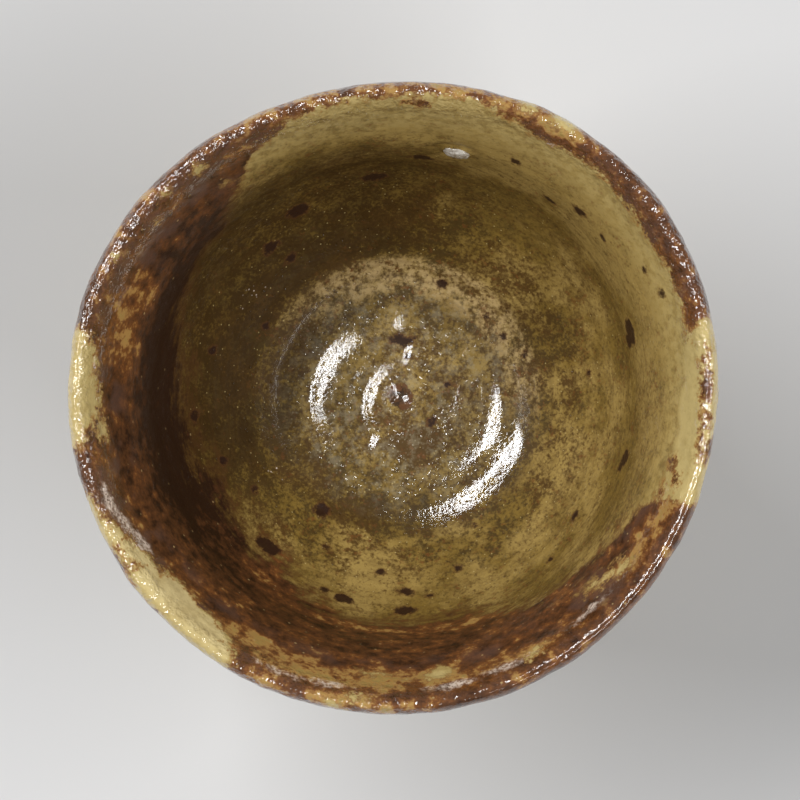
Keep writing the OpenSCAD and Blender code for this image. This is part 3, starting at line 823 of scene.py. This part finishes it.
    # The edge between the two wanders with the mottle, and fades out down in the bowl
    edge = m.total((iron, 1.0), (m.centred(patch), m.step(run, 2.0, 16.0, 3.0, 9.0)), (m.centred(mottle), 4.0),
                   (m.centred(streak), m.step(run, 3.0, 14.0, 0.0, 8.0)), (m.centred(grain), 2.0))
    edge = m.math("DIVIDE", edge, m.step(run, 3.0, 18.0, 0.50, 2.6))
    ring = m.mix(m.step(run, 3.0, 12.0), m.mix(m.step(mottle, 0.44, 0.56), RUST, AMBER),
                 m.mix(mottle, UMBER, BROWN))
    colour = m.mix(m.product(m.step(edge, -1.1, 0.1), m.step(run, 4.0, 14.0, 0.8, 0.5)), colour, ring)
    colour = m.mix(m.step(edge, -0.2, 0.9), colour, rust)

    # Crystals and painted glints scattered over the ash
    painted_glints = m.product(m.step(m.cells(m.shifted(61), 0.5), 0.12, 0.26, 1.0, 0.0),
                       m.step(painted_sheen, 0.0, 0.6), m.step(run, 12.0, 20.0, 0.0, 0.9))
    colour = m.mix(painted_glints, colour, ROSE_HIGHLIGHT)

    # The nub in the middle of the well is bare of ash and rusty
    nub = m.total((m.step(run, IN_RUN - 2.0, IN_RUN - 0.6), 1.0), (m.centred(mottle), 1.6))
    colour = m.mix(m.step(nub, 0.42, 0.75, 0.0, 0.9), colour, m.mix(m.step(mottle, 0.44, 0.60), SPOT, BROWN))

    # Iron spots burnt through from the clay, with a rusty ring
    spots = m.total((spot, 1.0), (m.centred(mottle), 1.1), (m.centred(grain), 0.5))
    colour = m.mix(m.step(spots, -0.26, -0.03, 0.0, 0.4), colour, BROWN)
    colour = m.mix(m.step(spots, -0.12, 0.20, 0.0, 0.92), colour, SPOT)

    # Skin of the glaze: orange peel and pinholes, lumpier over the lip, duller on the walls
    pits = m.product(m.step(m.cells(m.mm, 0.7), 0.0, 0.26, -1.0, 0.0), m.step(medium, 0.42, 0.54))
    lumps = m.noise(m.shifted(3), 0.62, 2, 0.5)
    even = m.step(m.product(bare_pale, m.step(run, 0.6, 2.4)), 0.0, 1.0, 1.0, 0.2)
    lumpy = m.product(even, m.step(way, 3.0, 8.0, 3.4, 0.3), m.step(shine, 0.6, 0.95, 0.4, 1.0))
    height = m.total((mottle, m.product(even, 0.45)), (grain, m.step(run, 2.0, 34.0, 0.10, 0.46)),
                     (pits, m.step(run, 20.0, 32.0, 0.3, 0.75)), (lumps, lumpy))
    normal = m.bump(height, GLAZE_BUMP * MM)
    rough = m.total((m.step(shine, 0.0, 1.0, 0.42, 0.08), 1.0), (m.step(mottle, 0.38, 0.62), 0.10))
    return m.finish(Base_Color=colour, Roughness=rough, Normal=normal,
                    Specular_IOR_Level=0.14, IOR=1.5, Coat_Weight=m.step(shine, 0.0, 1.0, 0.04, 1.0),
                    Coat_Roughness=0.045, Coat_IOR=1.95, Coat_Normal=normal)


def clay_material(name):
    m = Nodes(name)
    big = m.noise(m.mm, 7.0, 3, 0.5)
    grit = m.noise(m.mm, 0.55, 4, 0.7)
    sand = m.cells(m.mm, 0.9)
    iron = m.step(m.noise(m.shifted(9), 0.8, 2, 0.5), 0.70, 0.76)
    colour = m.mix(m.step(big, 0.35, 0.65), CLAY_DARK, CLAY_PALE)
    colour = m.mix(m.step(grit, 0.48, 0.72, 0.0, 0.6), colour, CLAY_GRIT)
    colour = m.mix(m.step(sand, 0.0, 0.16, 0.55, 0.0), colour, CLAY_SAND)
    colour = m.mix(m.product(iron, 0.8), colour, CLAY_IRON)
    height = m.total((grit, 0.8), (m.step(sand, 0.0, 0.2, 0.5, 0.0), 1.0))
    return m.finish(Base_Color=colour, Roughness=m.step(grit, 0.3, 0.7, 0.62, 0.86),
                    Normal=m.bump(height, CLAY_BUMP * MM), IOR=1.45)


def feldspar_material(name):
    m = Nodes(name)
    cloud = m.noise(m.mm, 0.7, 4, 0.6)
    colour = m.mix(m.step(cloud, 0.35, 0.65), FELDSPAR_GREY, FELDSPAR_WHITE)
    return m.finish(Base_Color=colour, Roughness=0.16, IOR=1.52, Coat_Weight=0.5, Coat_Roughness=0.05,
                    Normal=m.bump(m.noise(m.mm, 0.3, 3, 0.6), FELDSPAR_BUMP * MM))


# ---------------------------------------------------------------- pieces
def part_of(stretch, shared=1):
    """Rows of one stretch of the skin, with the row that it shares with the one before."""
    return slice(FIRST[stretch] - shared, FIRST[stretch] + len(STRETCHES[stretch]))


def coarse(rows, count):
    """A few of the rows, the first and the last among them."""
    return rows[np.unique(np.round(np.linspace(0, len(rows) - 1, count)).astype(int))]


def add_piece(obj, material, slot, *nodes):
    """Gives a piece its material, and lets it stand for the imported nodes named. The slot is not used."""
    obj.data.materials.append(material)
    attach(obj, "root")
    if nodes:
        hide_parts(*nodes)


def cut_fields(rows):
    """The fields' values on some rows of the skin."""
    return {key: values[rows] for key, values in FIELDS.items()}


def open_shell(name, skin, under_rows, normals, fields, skin_end, under_end):
    """Shell that closes at the middle of the well, where both of its skins end in a point."""
    obj = solid(name, np.concatenate([under_rows, skin]), first=under_end, last=skin_end)
    mesh, skin_start = obj.data, len(under_rows) * skin.shape[1]
    keep_fields(mesh, fields, skin_start, with_end=True)
    loops = np.zeros(len(mesh.loops), int)
    mesh.loops.foreach_get("vertex_index", loops)
    corner = np.zeros(len(mesh.loops) * 3)
    mesh.corner_normals.foreach_get("vector", corner)
    corner = corner.reshape(-1, 3)
    starts = np.zeros(len(mesh.polygons), int)
    mesh.polygons.foreach_get("loop_start", starts)
    sizes = np.diff(np.append(starts, len(loops)))
    owner = np.repeat(np.arange(len(starts)), sizes)
    # Faces of the skin have all their corners on skin rows
    on_skin = loops >= skin_start
    whole = np.bincount(owner, weights=on_skin, minlength=len(starts)) >= sizes
    point_n = np.vstack([np.zeros((skin_start, 3)), normals.reshape(-1, 3), [[0, 0, -1], [0, 0, 1]]])
    use = whole[owner]
    corner[use] = point_n[loops[use]]
    mesh.normals_split_custom_set(corner)
    return obj


glaze_in = glaze_material("ash_glaze_inside")
glaze_lip = glaze_material("iron_glaze_lip")
glaze_out = glaze_material("ash_glaze_outside")
clay = clay_material("bare_clay")

span = part_of("ash_in")
under = coarse(CLAY[span][::-1], UNDER_ROWS["ash_in"])
bowl = open_shell("ash_glaze_bowl", SKIN[span], under, SKIN_N[span], cut_fields(span), WELL_SKIN, WELL_CLAY)
add_piece(bowl, glaze_in, "ash_glaze", "ash_glaze_inside")

span = part_of("iron")
skin, under = SKIN[span], coarse(CLAY[span][::-1], UNDER_ROWS["iron"])
lip = solid("iron_glaze_over_lip", np.vstack([skin, under]), normals=SKIN_N[span], fields=cut_fields(span))
add_piece(lip, glaze_lip, "iron_glaze", "iron_glaze_lip")

# The outer coat starts on the clay, where its bead ends
span = part_of("ash_out")
skin, under = SKIN[span].copy(), coarse(CLAY[span][::-1], UNDER_ROWS["ash_out"])
skin[0] = CLAY[span][0]
beads = row_normals(np.vstack([skin, SKIN[span.stop:span.stop + 2]]))[:len(skin)]
beads[-1] = SKIN_N[span][-1]
coat = solid("ash_glaze_coat", np.vstack([skin, under[:-1]]), normals=beads, fields=cut_fields(span))
add_piece(coat, glaze_out, "ash_glaze", "ash_glaze_outside")

# The clay: base with trimming rings and the turner's nub, the bare band, and the wall under the glazes
base_radii = np.concatenate([np.linspace(0.4, BASE_R - 0.15, 60), [BASE_R - 0.05]])
rings = TRIM_H * cosd(360 * base_radii / TRIM_PITCH) * (1 - between(base_radii, BORE_R - 2, BORE_R - 0.6)) \
    - NUB_UNDER_H * (1 - smooth(base_radii / (UNDER_NUB_SHARE * BORE_R)))
base = np.stack([base_radii[:, None] * cosd(ANGLE), base_radii[:, None] * sind(ANGLE),
                 np.broadcast_to((FOOT_H + rings)[:, None], (len(base_radii), COLUMNS))], -1)
gritty = value_noise(base * [1, 1, 0], 0.9, 21) * (1 - between(base_radii, BORE_R - 1.5, BORE_R))[:, None]
base[..., 2] += 0.04 * gritty
span = part_of("bare", 0)
band_runs, band_angles = RUNS[span], ANGLES[span]
band_out = marks(band_angles, band_runs) + 0.05 * value_noise(PLAIN[span], 1.1, 22) \
    + 0.03 * value_noise(PLAIN[span] * [0.2, 0.2, 1], 0.5, 23)
band_out *= smooth((band_runs + OUT_RUN) / 0.5) * smooth((LINE[None, :] - band_runs) / 0.4)
band = placed(band_angles, band_runs, band_out)
wall_rows = coarse(CLAY[FIRST["ash_out"]:], UNDER_ROWS["wall"])
body = solid("stoneware_body", np.concatenate([base, band, wall_rows]),
             first=np.array([0, 0, FOOT_H - NUB_UNDER_H - 0.02]), last=WELL_CLAY)
add_piece(body, clay, "clay", "clay_body")


def foot_section():
    """Points of the foot ring's section, each with its share of the bore's shift: 0 outside, 1 inside."""
    top_bore = BORE_R - FOOT_W * BORE_TAPER_SHARE
    corners = [(FOOT_R + FOOT_FILLET + FOOT_FILLET * cosd(a), FOOT_H - FOOT_FILLET + FOOT_FILLET * sind(a), 0)
               for a in np.linspace(90, 180, 12)]
    corners += [(FOOT_R, FOOT_BEVEL, 0), (FOOT_R - FOOT_BEVEL, 0, 0),
                (BORE_R + FOOT_BEVEL, 0, 1), (BORE_R, FOOT_BEVEL, 1), (top_bore, FOOT_H, 1)]
    points = []
    for a, b in zip(corners, corners[1:] + corners[:1]):
        steps = max(int(math.hypot(b[0] - a[0], b[1] - a[1]) / (FOOT_STEP / DENSITY)), 1)
        points += [[a[i] + (b[i] - a[i]) * k / steps for i in range(3)] for k in range(steps)]
    return np.array(points)


section = foot_section()
turned = np.linspace(0, 360, COLUMNS, endpoint=False)
ring = np.stack([section[:, None, 0] * cosd(turned) + section[:, None, 2] * FOOT_SHIFT * cosd(FOOT_TURN),
                 section[:, None, 0] * sind(turned) + section[:, None, 2] * FOOT_SHIFT * sind(FOOT_TURN),
                 np.broadcast_to(section[:, None, 1], (len(section), COLUMNS))], -1)
free = smooth(section[:, 1] / 0.5) * (1 - smooth((section[:, 1] - FOOT_H + 0.5) / 0.5))
rough_cut = 0.05 * value_noise(ring, 1.3, 31) + 0.03 * value_noise(ring * [0.15, 0.15, 1], 0.35, 32) \
    + 0.10 * value_noise(ring, 5.0, 33)
side = np.where(section[:, 2] > 0.5, -1.0, 1.0)
ring[..., 0] += free[:, None] * rough_cut * side[:, None] * cosd(turned)
ring[..., 1] += free[:, None] * rough_cut * side[:, None] * sind(turned)
foot = solid("foot_ring_clay", ring[::-1])
add_piece(foot, clay, "clay", "foot_ring")

# The feldspar grain that burst through the glaze under the lip: half sizes round, along and out of the wall
GRAIN_HALF = (1.35, 1.05, 0.42)
GRAIN_OUT = 0.1
grain_angle, grain_run = GRAIN
grain_at = placed(np.array([grain_angle]), np.array([grain_run]), np.array([GRAIN_OUT]))[0]
out_dir = wall_normal(np.array([grain_run]))[0]
normal = np.array([out_dir[0] * cosd(grain_angle), out_dir[0] * sind(grain_angle), out_dir[1]])
across = np.array([-sind(grain_angle), cosd(grain_angle), 0])
along = np.cross(normal, across)
lat = np.radians(np.linspace(-84, 84, 28))
lon = np.linspace(0, 360, 48, endpoint=False)
unit = np.stack([np.cos(lat)[:, None] * cosd(lon), np.cos(lat)[:, None] * sind(lon),
                 np.broadcast_to(np.sin(lat)[:, None], (len(lat), len(lon)))], -1)
lump = 1 + 0.16 * value_noise(unit, 0.55, 41) + 0.07 * value_noise(unit, 0.2, 42)
ball = unit * lump[..., None] * GRAIN_HALF
grain_rows = grain_at + ball[..., :1] * across + ball[..., 1:2] * along + ball[..., 2:] * normal
pole = GRAIN_HALF[2] * normal
stone = solid("feldspar_grain", grain_rows, first=grain_at - pole, last=grain_at + pole)
add_piece(stone, feldspar_material("feldspar"), "ash_glaze")


# ---------------------------------------------------------------- stage, lights and camera
# Half the floor's width (m), its colours, and the size of its faint clouds (mm)
FLOOR_HALF = 3.0
FLOOR_COLOURS = ((0.66, 0.66, 0.665), (0.69, 0.69, 0.69))
FLOOR_CLOUD = 60.0
# Strip lamps: name, azimuth, elevation, distance (m), width, height (m), power (W)
LAMPS = [("key", 150, 52, 1.0, 0.92, 0.085, 8.2), ("side", 339, 52, 1.0, 0.92, 0.055, 5.6)]
WORLD_STRENGTH = 0.12
# The camera looks straight down: its place and its height above the mouth (mm), and the width it sees there
CAMERA_AT = (0.53, -0.41)
CAMERA_ABOVE = 600.0
CAMERA_SEES = 78.8
SENSOR = 36.0


def make_floor():
    """Plain pale paper under the cup."""
    mesh = bpy.data.meshes.new("floor")
    s = FLOOR_HALF
    mesh.from_pydata([(-s, -s, 0), (s, -s, 0), (s, s, 0), (-s, s, 0)], [], [(0, 1, 2, 3)])
    floor = bpy.data.objects.new("floor", mesh)
    bpy.context.scene.collection.objects.link(floor)
    m = Nodes("floor_paper")
    tint = m.noise(m.mm, FLOOR_CLOUD, 2, 0.5)
    floor.data.materials.append(m.finish(Base_Color=m.mix(tint, *FLOOR_COLOURS), Roughness=0.9))


def area_light(name, azimuth, elevation, distance, width, height, power):
    """Lamp that faces the middle of the floor from an azimuth and an elevation in degrees."""
    data = bpy.data.lights.new(name, "AREA")
    data.shape = "RECTANGLE"
    data.size, data.size_y = width, height
    data.energy = power
    light = bpy.data.objects.new(name, data)
    a, e = math.radians(azimuth), math.radians(elevation)
    light.location = (distance * math.cos(e) * math.cos(a), distance * math.cos(e) * math.sin(a),
                      distance * math.sin(e))
    light.rotation_euler = (math.radians(90 - elevation), 0, math.radians(azimuth + 90))
    bpy.context.scene.collection.objects.link(light)


make_floor()
for lamp in LAMPS:
    area_light(*lamp)
world = bpy.data.worlds.new("studio")
world.use_nodes = True
background = world.node_tree.nodes["Background"]
background.inputs["Color"].default_value = (1, 1, 1, 1)
background.inputs["Strength"].default_value = WORLD_STRENGTH
bpy.context.scene.world = world

camera = bpy.data.objects.new("camera", bpy.data.cameras.new("camera"))
camera.data.sensor_width = SENSOR
camera.data.lens = SENSOR * CAMERA_ABOVE / CAMERA_SEES
camera.data.clip_end = 20.0
camera.location = (CAMERA_AT[0] * MM, CAMERA_AT[1] * MM, (CUP_H + CAMERA_ABOVE) * MM)
bpy.context.scene.collection.objects.link(camera)
bpy.context.scene.camera = camera
bpy.context.scene.view_settings.view_transform = "Standard"
